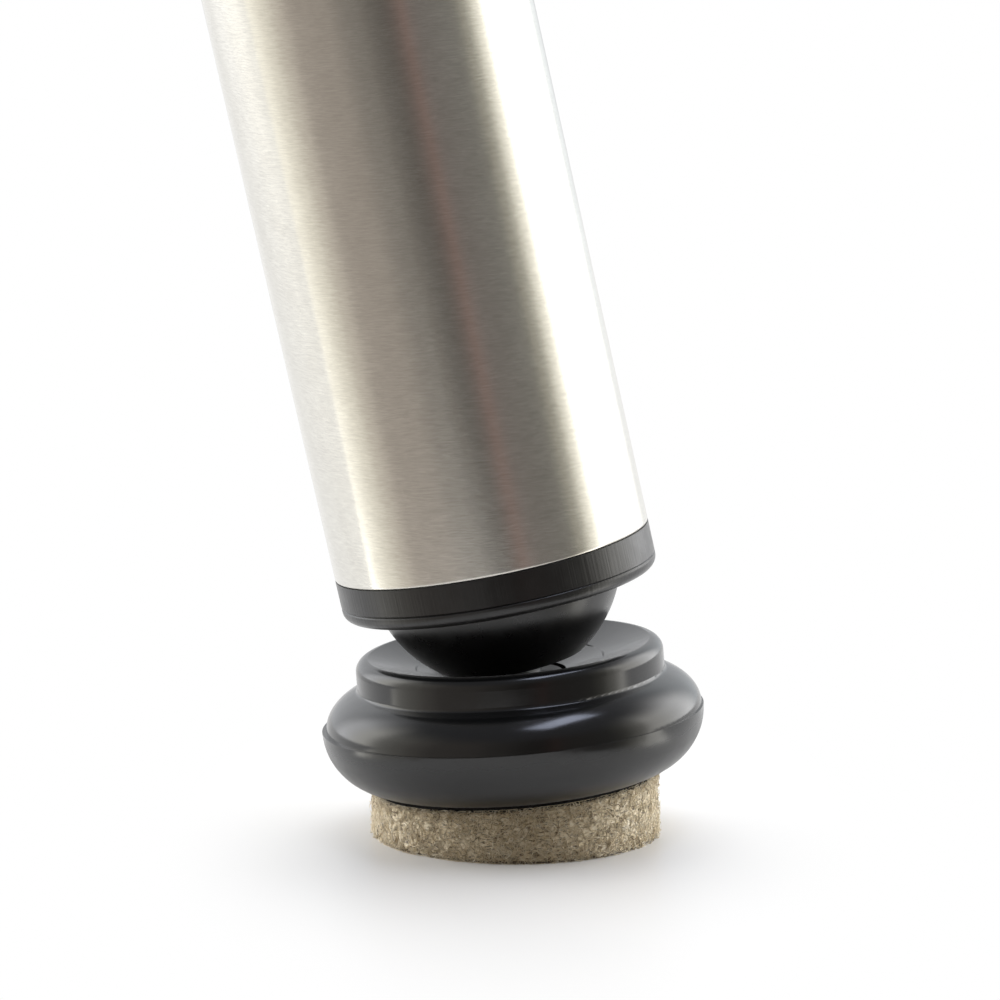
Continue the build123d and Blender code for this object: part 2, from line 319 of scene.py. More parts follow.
def own_coordinates(tree, origin, axis, cell_mm=(1, 1, 1)):
    """Object coordinates moved to an origin on a piece's axis, stood upright and counted in cells.

    cell_mm is a cell's size in millimetres across, sideways and along the axis.
    """
    source = add(tree, "ShaderNodeTexCoord")
    moved = add(
        tree,
        "ShaderNodeVectorMath",
        {0: source.outputs["Object"], 1: tuple(origin)},
        operation="SUBTRACT",
    )
    turn = (0, axis_tilt(axis), 0)
    upright = add(tree, "ShaderNodeMapping", {"Vector": moved.outputs[0], "Rotation": turn})
    per_metre = tuple(1 / (size * MM) for size in cell_mm)
    return add(tree, "ShaderNodeMapping", {"Vector": upright.outputs[0], "Scale": per_metre})


def brushed_stainless(colours):
    """Stainless tube brushed round its circumference.

    The marks are about 0.1 mm apart and 1 mm long, and climb a little as a polishing belt leaves them.
    They smear reflections along the tube and leave them fairly crisp round it, so the light stands in
    long soft bands, with a faint fine speckle and soft cloudy patches about 2 mm wide over them. The
    real marks are finer, and are drawn this coarse so that they show.
    """
    mark_length_mm = 0.9
    mark_spacing_mm = 0.1
    mark_depth_mm = 0.0012
    climb_slope = 0.14
    speckle_mm, speckle_share = 0.22, 0.2
    cloud_mm, cloud_share = 2.0, 0.25
    # Where the noise's dark and bright ends lie
    dark, bright = 0.3, 0.7
    material, tree, output = new_tree("brushed_stainless")
    upright = own_coordinates(tree, SWIVEL_CENTRE, LEG_AXIS)
    parts = add(tree, "ShaderNodeSeparateXYZ", {0: upright.outputs[0]})
    bearing = add(tree, "ShaderNodeMath", {0: parts.outputs["X"], 1: parts.outputs["Y"]}, operation="ARCTAN2")
    climb = add(
        tree,
        "ShaderNodeMath",
        {0: bearing.outputs[0], 1: -climb_slope * TUBE_RADIUS_MM, 2: parts.outputs["Z"]},
        operation="MULTIPLY_ADD",
    )
    place = add(
        tree,
        "ShaderNodeCombineXYZ",
        {"X": parts.outputs["X"], "Y": parts.outputs["Y"], "Z": climb.outputs[0]},
    )
    per_mark = (1 / mark_length_mm, 1 / mark_length_mm, 1 / mark_spacing_mm)
    brushed = add(tree, "ShaderNodeMapping", {"Vector": place.outputs[0], "Scale": per_mark})
    marks = add(
        tree,
        "ShaderNodeTexNoise",
        {"Vector": brushed.outputs[0], "Scale": 1.0, "Detail": 3.0, "Roughness": 0.65},
    )
    speckle = add(
        tree,
        "ShaderNodeTexNoise",
        {"Vector": upright.outputs[0], "Scale": 1 / speckle_mm, "Detail": 2.0, "Roughness": 0.7},
    )
    both = add(
        tree,
        "ShaderNodeMix",
        {0: speckle_share, 2: marks.outputs[0], 3: speckle.outputs[0]},
        data_type="FLOAT",
    )
    clouds = add(
        tree, "ShaderNodeTexNoise", {"Vector": upright.outputs[0], "Scale": 1 / cloud_mm, "Detail": 2.0}
    )
    cloudy = add(
        tree, "ShaderNodeMix", {0: cloud_share, 2: both.outputs[0], 3: clouds.outputs[0]}, data_type="FLOAT"
    )
    contrast = add(
        tree, "ShaderNodeMapRange", {"Value": cloudy.outputs[0], "From Min": dark, "From Max": bright}
    )
    tint = add(
        tree,
        "ShaderNodeMix",
        {0: contrast.outputs[0], 6: rgba(colours.steel_marks), 7: rgba(colours.steel)},
        data_type="RGBA",
    )
    rough = add(
        tree,
        "ShaderNodeMapRange",
        {"Value": both.outputs[0], "From Min": dark, "From Max": bright, "To Min": 0.22, "To Max": 0.27},
    )
    bump = add(
        tree, "ShaderNodeBump", {"Height": both.outputs[0], "Strength": 0.5, "Distance": mark_depth_mm * MM}
    )
    tangent = add(tree, "ShaderNodeTangent", direction_type="UV_MAP", uv_map="surface")
    shader = add(
        tree,
        "ShaderNodeBsdfPrincipled",
        {
            "Base Color": tint.outputs[2],
            "Metallic": 1.0,
            "Roughness": rough.outputs[0],
            "Anisotropic": 0.9,
            "Normal": bump.outputs[0],
            "Tangent": tangent.outputs[0],
        },
    )
    tree.links.new(shader.outputs[0], output.inputs[0])
    return material


def moulded_plastic(name, colour, axis, roughness, grain_mm, grain_depth_mm, streak_mm=None, dull_below=None):
    """Injection-moulded black plastic.

    A fine grain breaks up the sheen, a slow waviness bends long highlights as shrinkage does, handling
    leaves patches a little duller, and a painted sheen pales the sides where they turn away.
    streak_mm is how far apart fine upright lines from the tool's turning stand on the collar.
    dull_below is a height on the axis, in millimetres over the swivel's centre, under which the mould
    left a duller face.
    """
    wave_mm, wave_depth_mm = 4.55, 0.03
    patch_mm, patch_share = 1.43, 0.12
    streak_depth_mm = 0.035
    dull_fade_mm, dull_gain = 2.0, 0.22
    material, tree, output = new_tree(name)
    place = own_coordinates(tree, SWIVEL_CENTRE, axis)
    grain = add(
        tree,
        "ShaderNodeTexNoise",
        {"Vector": place.outputs[0], "Scale": 1 / grain_mm, "Detail": 3.0, "Roughness": 0.55},
    )
    waves = add(tree, "ShaderNodeTexNoise", {"Vector": place.outputs[0], "Scale": 1 / wave_mm, "Detail": 1.0})
    patches = add(
        tree, "ShaderNodeTexNoise", {"Vector": place.outputs[0], "Scale": 1 / patch_mm, "Detail": 4.0}
    )
    rough = add(
        tree,
        "ShaderNodeMapRange",
        {
            "Value": patches.outputs[0],
            "From Min": 0.35,
            "From Max": 0.65,
            "To Min": roughness * (1 - patch_share),
            "To Max": roughness * (1 + patch_share),
        },
    )
    if dull_below is not None:
        level = add(tree, "ShaderNodeSeparateXYZ", {0: place.outputs[0]})
        dull = add(
            tree,
            "ShaderNodeMapRange",
            {
                "Value": level.outputs["Z"],
                "From Min": dull_below - dull_fade_mm,
                "From Max": dull_below,
                "To Min": dull_gain,
                "To Max": 0.0,
            },
        )
        rough = add(tree, "ShaderNodeMath", {0: rough.outputs[0], 1: dull.outputs[0]}, operation="ADD")
    bump = add(
        tree, "ShaderNodeBump", {"Height": waves.outputs[0], "Strength": 0.5, "Distance": wave_depth_mm * MM}
    )
    bump = add(
        tree,
        "ShaderNodeBump",
        {
            "Height": grain.outputs[0],
            "Strength": 0.5,
            "Distance": grain_depth_mm * MM,
            "Normal": bump.outputs[0],
        },
    )
    if streak_mm:
        radial = add(tree, "ShaderNodeVectorMath", {0: place.outputs[0], 1: (1, 1, 0)}, operation="MULTIPLY")
        around = add(tree, "ShaderNodeVectorMath", {0: radial.outputs[0]}, operation="NORMALIZE")
        lines = add(
            tree,
            "ShaderNodeTexNoise",
            {"Vector": around.outputs[0], "Scale": TUBE_RADIUS_MM / streak_mm, "Detail": 1.0},
        )
        bump = add(
            tree,
            "ShaderNodeBump",
            {
                "Height": lines.outputs[0],
                "Strength": 0.5,
                "Distance": streak_depth_mm * MM,
                "Normal": bump.outputs[0],
            },
        )
    shader = add(
        tree,
        "ShaderNodeBsdfPrincipled",
        {
            "Base Color": rgba(colour),
            "Roughness": rough.outputs[0],
            "IOR": 1.59,
            # Painted sheen: a soft lobe that pales the sides where they turn away
            "Sheen Weight": 0.12,
            "Sheen Roughness": 0.3,
            "Normal": bump.outputs[0],
        },
    )
    tree.links.new(shader.outputs[0], output.inputs[0])
    return material


def zinc_plating(colours):
    """Bright zinc on turned steel: cool grey metal with fine turning rings 0.1 mm apart."""
    ring_mm, ring_depth_mm = 0.1, 0.01
    material, tree, output = new_tree("zinc_plated_steel")
    place = own_coordinates(tree, SWIVEL_CENTRE, FOOT_AXIS, (1, 1, ring_mm))
    rings = add(tree, "ShaderNodeTexNoise", {"Vector": place.outputs[0], "Scale": 1.0, "Detail": 2.0})
    bump = add(
        tree, "ShaderNodeBump", {"Height": rings.outputs[0], "Strength": 0.3, "Distance": ring_depth_mm * MM}
    )
    shader = add(
        tree,
        "ShaderNodeBsdfPrincipled",
        {"Base Color": rgba(colours.zinc), "Metallic": 1.0, "Roughness": 0.28, "Normal": bump.outputs[0]},
    )
    tree.links.new(shader.outputs[0], output.inputs[0])
    return material


def wool_felt(colours):
    """Pressed wool felt: beige wool of mixed tones with no gloss.

    It has blotches about 1 mm wide, crumbs of about 0.3 mm, and short dark dashes where the layers that
    it was pressed from part. All of them are wider than they are high. The wool darkens towards the
    rim of the sole.
    """
    flatness = 0.625
    blotch_mm = 0.91
    crumb_mm, crumb_depth_mm, crumb_share = 0.303, 0.029, 0.62
    dash_width_mm, dash_height_mm = 0.4545, 0.143
    # Heights over the floor below which the wool is darkest and above which it keeps its plain colour
    sole_darkest_below_mm, sole_plain_above_mm = 0.075, 0.3125
    material, tree, output = new_tree("wool_felt")
    place = own_coordinates(tree, FLOOR_CENTRE, UPRIGHT, (1, 1, flatness))
    blotches = add(
        tree,
        "ShaderNodeTexNoise",
        {"Vector": place.outputs[0], "Scale": 1 / blotch_mm, "Detail": 3.0, "Roughness": 0.6},
    )
    crumbs = add(
        tree,
        "ShaderNodeTexNoise",
        {"Vector": place.outputs[0], "Scale": 1 / crumb_mm, "Detail": 3.0, "Roughness": 0.6},
    )
    both = add(
        tree,
        "ShaderNodeMix",
        {0: crumb_share, 2: blotches.outputs[0], 3: crumbs.outputs[0]},
        data_type="FLOAT",
    )
    # Partly painted shade and light: the crumbs also make the bump, so the ramp's dark end lies in their pits
    # and its pale end on their tops; the blotches are the wool's own tone
    ramp = add(tree, "ShaderNodeValToRGB", {"Fac": both.outputs[0]})
    set_stops(ramp, ((0.34, colours.wool_dark), (0.47, colours.wool), (0.65, colours.wool_pale)))
    flat = own_coordinates(tree, FLOOR_CENTRE, UPRIGHT, (dash_width_mm, dash_width_mm, dash_height_mm))
    dashes = add(tree, "ShaderNodeTexNoise", {"Vector": flat.outputs[0], "Scale": 1.0, "Detail": 2.0})
    dashes = add(
        tree,
        "ShaderNodeMapRange",
        {"Value": dashes.outputs[0], "From Min": 0.55, "From Max": 0.65, "To Min": 0.0, "To Max": 0.75},
    )
    dashed = add(
        tree,
        "ShaderNodeMix",
        {0: dashes.outputs[0], 6: ramp.outputs[0], 7: rgba(colours.wool_dark, 0.3)},
        data_type="RGBA",
    )
    level = add(tree, "ShaderNodeSeparateXYZ", {0: place.outputs[0]})
    # Towards the sole the wool darkens: up to 85 per cent of it is mixed with a dark brown
    sole_darkening = add(
        tree,
        "ShaderNodeMapRange",
        {
            "Value": level.outputs["Z"],
            "From Min": sole_darkest_below_mm / flatness,
            "From Max": sole_plain_above_mm / flatness,
            "To Min": 0.85,
            "To Max": 0.0,
        },
    )
    tint = add(
        tree,
        "ShaderNodeMix",
        {0: sole_darkening.outputs[0], 6: dashed.outputs[2], 7: rgba(colours.wool_dark, 0.4)},
        data_type="RGBA",
    )
    bump = add(
        tree,
        "ShaderNodeBump",
        {"Height": crumbs.outputs[0], "Strength": 1.0, "Distance": crumb_depth_mm * MM},
    )
    shader = add(
        tree,
        "ShaderNodeBsdfPrincipled",
        {
            "Base Color": tint.outputs[2],
            "Roughness": 0.95,
            "Sheen Weight": 0.3,
            "Sheen Roughness": 0.5,
            "Specular IOR Level": 0.1,
            "Normal": bump.outputs[0],
        },
    )
    tree.links.new(shader.outputs[0], output.inputs[0])
    return material


def wool_fibre(colours):
    """Single wool fibres: each has its own tone from dark brown to pale straw, with a slight gloss."""
    material, tree, output = new_tree("wool_fibre")
    tone = add(tree, "ShaderNodeAttribute", attribute_name="tone")
    ramp = add(tree, "ShaderNodeValToRGB", {"Fac": tone.outputs["Fac"]})
    set_stops(ramp, ((0.05, colours.wool_dark), (0.4, colours.wool), (1.0, colours.wool_pale)))
    shader = add(
        tree,
        "ShaderNodeBsdfPrincipled",
        {"Base Color": ramp.outputs[0], "Roughness": 0.65, "Specular IOR Level": 0.3},
    )
    tree.links.new(shader.outputs[0], output.inputs[0])
    return material


def foam_tape(colours):
    """Black foam tape: dull, with small open cells about 0.15 mm wide along its cut edge."""
    cell_mm, cell_depth_mm = 0.154, 0.08
    material, tree, output = new_tree("foam_tape")
    place = own_coordinates(tree, FLOOR_CENTRE, UPRIGHT)
    cells = add(tree, "ShaderNodeTexVoronoi", {"Vector": place.outputs[0], "Scale": 1 / cell_mm})
    bump = add(
        tree, "ShaderNodeBump", {"Height": cells.outputs[0], "Strength": 0.8, "Distance": cell_depth_mm * MM}
    )
    # Painted shade: the foam is darker towards each cell's middle, where its hollow lies
    shade = add(
        tree,
        "ShaderNodeMix",
        {0: cells.outputs[0], 6: rgba(colours.tape, 0.4), 7: rgba(colours.tape)},
        data_type="RGBA",
    )
    shader = add(
        tree,
        "ShaderNodeBsdfPrincipled",
        {"Base Color": shade.outputs[2], "Roughness": 0.85, "Normal": bump.outputs[0]},
    )
    tree.links.new(shader.outputs[0], output.inputs[0])
    return material


def dress(piece, material):
    """Gives a piece its one material."""
    piece.data.materials.clear()
    piece.data.materials.append(material)


class GLIDE_OT_leg_tube(bpy.types.Operator):
    """Makes the brushed leg tube"""

    bl_idname = "glide.leg_tube"
    bl_label = "Leg tube"

    def execute(self, context):
        sizes, colours = context.scene.glide_sizes, context.scene.glide_colours
        outer, inner = sizes.tube_radius, sizes.tube_radius - sizes.tube_wall
        low, high = sizes.tube_start, sizes.tube_end
        outline = rounded_outline([(outer, low), (outer, high), (inner, high), (inner, low)], sizes.tube_edge)
        points, uv = turned(outline, 360)
        # The lower end is cut a little off square and the upper end is square, so the heights lean more
        # the nearer they are to the lower end
        near_end = (high - points[..., 2]) / (high - low)
        points[..., 2] -= points[..., 0] * math.tan(sizes.tube_mitre) * near_end
        tube = piece_from_grid("leg_tube_brushed", to_row_frame(points, SWIVEL_CENTRE, LEG_AXIS), uv)
        dress(tube, brushed_stainless(colours))
        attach(tube, "leg")
        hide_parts("leg_tube")
        return {"FINISHED"}


def turned(outline, steps):
    """A surface of revolution: every outline point (radius, height) goes once round the local Z axis.

    It starts and ends at the back. The UV map's first direction runs along the outline, so a tangent
    from it points along the piece, and one unit of it is 100 mm.
    """
    angle = np.linspace(0, 2 * math.pi, steps, endpoint=False) + math.pi / 2
    radius, height = outline[:, :1], outline[:, 1:]
    points = np.stack([radius * np.cos(angle), radius * np.sin(angle), height + 0 * angle], axis=-1)
    run = np.linalg.norm(np.diff(outline, axis=0, append=outline[:1]), axis=1)
    unit_mm = 100
    along = np.concatenate([[0], np.cumsum(run)]) / MM / unit_mm
    around = np.linspace(0, 1, steps + 1)
    uv = np.stack(np.meshgrid(along, around, indexing="ij"), axis=-1)
    return points, uv


def felt_swell(points, flatness=1.5):
    """How far the felt's side stands out at each point: slow, middling and fine lumps that lie flat."""
    return added_lumps(points * [1, 1, flatness], FELT_LUMPS)


def felt_top(sizes, x):
    """Height of the felt's top over the floor, which slopes with the foot."""
    return sizes.pad_height + x * math.tan(FOOT_LEAN)


class GLIDE_OT_felt_pad(bpy.types.Operator):
    """Makes the body of the felt pad"""

    bl_idname = "glide.felt_pad"
    bl_label = "Felt pad"

    def execute(self, context):
        sizes, colours = context.scene.glide_sizes, context.scene.glide_colours
        radius, height, edge = sizes.pad_radius - sizes.nap, sizes.pad_height, sizes.pad_edge
        rings, levels, columns = 12, 60, 960
        # Shares of the way: out along the sole, up the side, in along the top
        out, up = np.linspace(0, 1, rings)[:-1], np.linspace(0, 1, levels)
        share_r = np.concatenate([out, np.ones(len(up)), out[::-1]])
        share_z = np.concatenate([np.zeros(len(out)), up, np.ones(len(out))])
        on_side = share_r == 1
        angle = np.linspace(0, 2 * math.pi, columns, endpoint=False)
        # An edge is rounded off by a quarter circle of the edge's radius
        depth = np.minimum(share_z, 1 - share_z) * height
        pulled = edge * (1 - np.sqrt(1 - np.clip(1 - depth / edge, 0, 1) ** 2))
        reach = (radius * share_r - pulled * on_side)[:, None]
        x, y = reach * np.cos(angle), reach * np.sin(angle)
        z = share_z[:, None] * felt_top(sizes, x)
        points = np.stack([x, y, z], axis=-1)
        swell = felt_swell(points) * on_side[:, None]
        outward = np.stack([np.cos(angle), np.sin(angle), 0 * angle], axis=-1)
        points = points + swell[..., None] * outward
        points[..., 2] = np.clip(points[..., 2], 0, felt_top(sizes, points[..., 0]))
        pad = piece_from_grid("felt_pad_body", points, wrap=(False, True), crease=math.radians(180))
        dress(pad, wool_felt(colours))
        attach(pad, "foot")
        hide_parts("felt_pad")
        return {"FINISHED"}


def fibre_paths(sizes, rng, count, stations, level, length_mm, curl, stray_share, stray_mm):
    """Centre lines of loose fibres on the unrolled side of the pad, and their way out of it.

    A fibre's heading starts at random, bends steadily and waves a little, and its path is the sum of
    short steps along the heading. level gives its start as a share of the felt's height. Most fibres lie
    flat, and a few lift off towards one end. The paths are count x stations x 3 points.
    """
    # The higher this is, the more alike the lengths are
    evenness = 4.0
    # In radians: how far headings spread about level, and how far they wave
    slant, wave = 0.8, 0.6
    arch_mm, least_stray_mm = 0.035, 0.1
    lowest, over_top = 0.03 * MM, 0.2 * MM
    step = np.linspace(0, 1, stations)
    length = rng.gamma(evenness, length_mm / evenness, (count, 1)) * MM
    heading = rng.normal(0, slant, (count, 1)) + np.pi * rng.integers(0, 2, (count, 1))
    heading = heading + rng.normal(0, curl, (count, 1)) * step
    heading = heading + rng.normal(0, wave, (count, 1)) * np.sin(
        2 * np.pi * (step * rng.uniform(0.6, 1.8, (count, 1)) + rng.uniform(0, 1, (count, 1)))
    )
    pace = length / (stations - 1)
    across = np.cumsum(np.cos(heading), axis=1) * pace
    rise = np.cumsum(np.sin(heading), axis=1) * pace
    angle = rng.uniform(0, 2 * np.pi, (count, 1)) + across / sizes.pad_radius
    body = sizes.pad_radius - sizes.nap
    x = body * np.cos(angle)
    z = np.clip(felt_top(sizes, x) * level + rise, lowest, felt_top(sizes, x) + over_top)
    arch = rng.exponential(arch_mm, (count, 1)) * MM * np.sin(np.pi * step)
    strays = rng.uniform(0, 1, (count, 1)) < stray_share
    stray = strays * rng.uniform(least_stray_mm, stray_mm, (count, 1)) * MM * step**1.5
    reach = body + felt_swell(np.stack([x, body * np.sin(angle), z], axis=-1)) + arch + stray
    outward = np.stack([np.cos(angle), np.sin(angle), 0 * angle], axis=-1)
    return np.stack([reach * np.cos(angle), reach * np.sin(angle), z], axis=-1), outward


def fibre_piece(name, path, outward, thick, tone):
    """One mesh of thin three-sided tubes, one round each path, with the fibres' tones as an attribute.

    Each ring stands square to the path, on the way out of the pad and the direction across both.
    """
    count, stations = path.shape[:2]
    sides = 3
    ahead = np.gradient(path, axis=1)
    ahead /= np.linalg.norm(ahead, axis=-1, keepdims=True)
    beside = np.cross(ahead, outward)
    beside /= np.linalg.norm(beside, axis=-1, keepdims=True)
    above = np.cross(beside, ahead)
    turn = np.arange(sides) * 2 * np.pi / sides
    ring = above[:, :, None] * np.cos(turn)[:, None] + beside[:, :, None] * np.sin(turn)[:, None]
    points = path[:, :, None] + ring * thick[..., None, None]
    fibre, station, side = np.ogrid[:count, : stations - 1, :sides]
    base = (fibre * stations + station) * sides
    beyond = (side + 1) % sides
    quads = np.stack([base + side, base + sides + side, base + sides + beyond, base + beyond], axis=-1)
    first = np.arange(count)[:, None] * stations * sides
    caps = np.concatenate([first + [0, 1, 2], first + (stations - 1) * sides + [2, 1, 0]])
    mesh = bpy.data.meshes.new(name)
    mesh.from_pydata(points.reshape(-1, 3), [], [*quads.reshape(-1, 4).tolist(), *caps.tolist()])
    tones = np.repeat(tone, stations * sides).astype(np.float32)
    mesh.attributes.new("tone", "FLOAT", "POINT").data.foreach_set("value", tones)
    mesh.polygons.foreach_set("use_smooth", np.ones(len(mesh.polygons), bool))
    piece = bpy.data.objects.new(name, mesh)
    bpy.context.scene.collection.objects.link(piece)
    return piece


class GLIDE_OT_felt_fibres(bpy.types.Operator):
    """Makes the loose wool fibres on the felt's side and along its edges"""

    bl_idname = "glide.felt_fibres"
    bl_label = "Felt fibres"

    def execute(self, context):
        sizes, colours = context.scene.glide_sizes, context.scene.glide_colours
        wool = wool_fibre(colours)
        rng = np.random.default_rng(7)
        stations = 8
        # Each fibre is thinner at its ends than at its middle
        taper = 0.25 + 0.75 * np.sin(np.pi * np.linspace(0, 1, stations)) ** 0.5
        # Name, number, mean length in millimetres, curl in radians, and the share that lifts off and how
        # far in millimetres
        sets = (
            ("felt_fibres_side", sizes.fibre_count, 1.0, 3.4, 0.1, 0.35),
            ("felt_fibres_fringe", sizes.fringe_count, 0.8, 2.4, 0.5, 0.3),
        )
        for name, count, length_mm, curl, stray_share, stray_mm in sets:
            level = rng.uniform(0, 1, (count, 1))
            if name == "felt_fibres_fringe":
                # Crowded towards the bottom edge, and more so towards the top one
                level = np.where(level < 0.5, level**2, 1 - (1 - level) ** 2 * 0.6)
            path, outward = fibre_paths(
                sizes, rng, count, stations, level, length_mm, curl, stray_share, stray_mm
            )
            thick = sizes.fibre_radius * rng.uniform(0.6, 1.5, (count, 1)) * taper
            fibres = fibre_piece(name, path, outward, thick, rng.beta(2.6, 1.4, count))
            dress(fibres, wool)
            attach(fibres, "foot")
        return {"FINISHED"}


class GLIDE_OT_foam_tape(bpy.types.Operator):
    """Makes the foam tape between the felt and the foot"""

    bl_idname = "glide.foam_tape"
    bl_label = "Foam tape"

    def execute(self, context):
        sizes, colours = context.scene.glide_sizes, context.scene.glide_colours
        low = TAPE_LEVEL - sizes.tape_thickness / 2
        high = TAPE_LEVEL + sizes.tape_thickness / 2
        levels, columns = 9, 720
        up = np.linspace(0, 1, levels)
        outline = np.stack([np.full(levels, sizes.tape_radius), low + (high - low) * up], axis=1)
        outline = np.concatenate([[(0, low)], outline, [(0, high)]])
        points, _ = turned(outline, columns)
        # The tape was cut out with a punch, which left its edge a little ragged
        ragged = added_lumps(points, TAPE_LUMPS)
        points[1:-1, :, :2] *= (1 + ragged[1:-1] / sizes.tape_radius)[..., None]
        points = to_row_frame(points, SWIVEL_CENTRE, FOOT_AXIS)
        tape = piece_from_grid("foam_tape", points, wrap=(False, True))
        dress(tape, foam_tape(colours))
        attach(tape, "foot")
        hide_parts("adhesive_disc")
        return {"FINISHED"}


class GLIDE_OT_plastics(bpy.types.Operator):
    """Finishes the foot, the washer on it, the socket cup and the tube insert"""

    bl_idname = "glide.plastics"
    bl_label = "Plastic parts"

    def execute(self, context):
        colours = context.scene.glide_colours
        nodes = frame["nodes"]
        foot = moulded_plastic(
            "gloss_moulded_black",
            colours.foot,
            FOOT_AXIS,
            roughness=0.17,
            grain_mm=0.5,
            grain_depth_mm=0.002,
            dull_below=-9.0,
        )
        cup = moulded_plastic(
            "black_acetal", colours.cup, LEG_AXIS, roughness=0.3, grain_mm=0.3, grain_depth_mm=0.001
        )
        washer = moulded_plastic(
            "washer_acetal", colours.cup, FOOT_AXIS, roughness=0.4, grain_mm=0.3, grain_depth_mm=0.004
        )
        insert = moulded_plastic(
            "satin_black_nylon",
            colours.insert,
            LEG_AXIS,
            roughness=0.32,
            grain_mm=0.3,
            grain_depth_mm=0.003,
            streak_mm=0.2,
        )
        dress(nodes["swivel_foot"], foot)
        dress(nodes["socket_cup"], cup)
        dress(nodes["seat_washer"], washer)
        dress(nodes["tube_insert"], insert)
        return {"FINISHED"}


class GLIDE_OT_stud(bpy.types.Operator):
    """Finishes the ball stud and the washer that it is riveted over"""

    bl_idname = "glide.stud"
    bl_label = "Ball stud"

    def execute(self, context):
        zinc = zinc_plating(context.scene.glide_colours)
        for name in ("ball_stud", "rivet_washer"):
            dress(frame["nodes"][name], zinc)
        return {"FINISHED"}


# What the metal and the gloss mirror: bearing, colour and strength. A bearing of 0 degrees is the dark
# room on the viewer's side, positive is to the right, and 180 is straight behind the object
SURROUNDINGS = (
    (-180, "#fafcff", 0.7),
    (-146, "#fafcff", 1.3),
    (-128, "#fcfdff", 3.0),
    (-108, "#fffdf6", 3.3),
    (-90, "#fffcf2", 1.2),
    (-77, "#fffaee", 0.9),
    (-66, "#fff6ea", 0.64),
    (-52, "#fff3e8", 0.42),
    (-30, "#fff3e8", 0.38),
    (-12, "#fff6ec", 0.26),
    (12, "#fff6ec", 0.13),
    (20, "#ffe4da", 0.17),
    (24, "#ffd2c4", 0.28),
    (28, "#ffece4", 0.2),
    (36, "#fff4ea", 0.185),
    (60, "#fffaf0", 0.19),
    (70, "#fffae8", 0.34),
    (82, "#fffcf0", 1.05),
    (94, "#fffdf6", 3.1),
    (130, "#ffffff", 3.6),
    (155, "#f6fbff", 1.15),
    (180, "#fafcff", 0.7),
)


# A colour ramp holds values up to 1, so it holds shares of this strength
STRONGEST = 4.0

# Between these heights on the unit sphere the light evens out to one soft level overhead
EVEN_FROM, EVEN_ABOVE = 0.45, 0.85
OVERHEAD = (0.06, 0.06, 0.063)


def studio_world():
    """Soft light from a white studio with a dark room on the viewer's side, and a white background."""
    world = bpy.data.worlds.new("studio")
    world.use_nodes = True
    tree = world.node_tree
    tree.nodes.clear()
    towards = add(tree, "ShaderNodeTexCoord").outputs["Generated"]
    parts = add(tree, "ShaderNodeSeparateXYZ", {0: towards})
    front = add(tree, "ShaderNodeMath", {0: parts.outputs["Y"], 1: -1.0}, operation="MULTIPLY")
    bearing = add(tree, "ShaderNodeMath", {0: parts.outputs["X"], 1: front.outputs[0]}, operation="ARCTAN2")
    share = add(
        tree,
        "ShaderNodeMapRange",
        {"Value": bearing.outputs[0], "From Min": -math.pi, "From Max": math.pi},
    )
    ramp = add(tree, "ShaderNodeValToRGB", {"Fac": share.outputs[0]})
    ramp.color_ramp.interpolation = "EASE"
    stops = []
    for degrees, colour, strength in SURROUNDINGS:
        stops.append(((degrees + 180) / 360, [channel * strength / STRONGEST for channel in linear(colour)]))
    set_stops(ramp, stops)
    overhead = add(
        tree,
        "ShaderNodeMapRange",
        {"Value": parts.outputs["Z"], "From Min": EVEN_FROM, "From Max": EVEN_ABOVE},
        interpolation_type="SMOOTHSTEP",
    )
    mixed = add(
        tree,
        "ShaderNodeMix",
        {0: overhead.outputs[0], 6: ramp.outputs[0], 7: rgba(OVERHEAD)},
        data_type="RGBA",
    )
    light = add(tree, "ShaderNodeBackground", {"Color": mixed.outputs[2], "Strength": STRONGEST})
    white = add(tree, "ShaderNodeBackground", {"Color": (1, 1, 1, 1), "Strength": 1.0})
    seen = add(tree, "ShaderNodeLightPath")
    switch = add(
        tree,
        "ShaderNodeMixShader",
        {0: seen.outputs["Is Camera Ray"], 1: light.outputs[0], 2: white.outputs[0]},
    )
    output = tree.nodes.new("ShaderNodeOutputWorld")
    tree.links.new(switch.outputs[0], output.inputs[0])
    return world


# The board: how far behind and beside the object it reaches, and the half oval that is its front
BOARD_BACK, BOARD_SIDE = 0.8, 0.5
BOARD_FRONT, BOARD_FRONT_SIDE = 0.066, 0.032
BOARD_FRONT_CORNERS = 49

# Where its shadows start to fade and where it is pure white, in front of the object. Beside the object
# both come this many times nearer
FADE_START, FADE_END = 20 * MM, 62 * MM
FADE_NARROWER = 2.2
BOARD_GLOW = 0.08


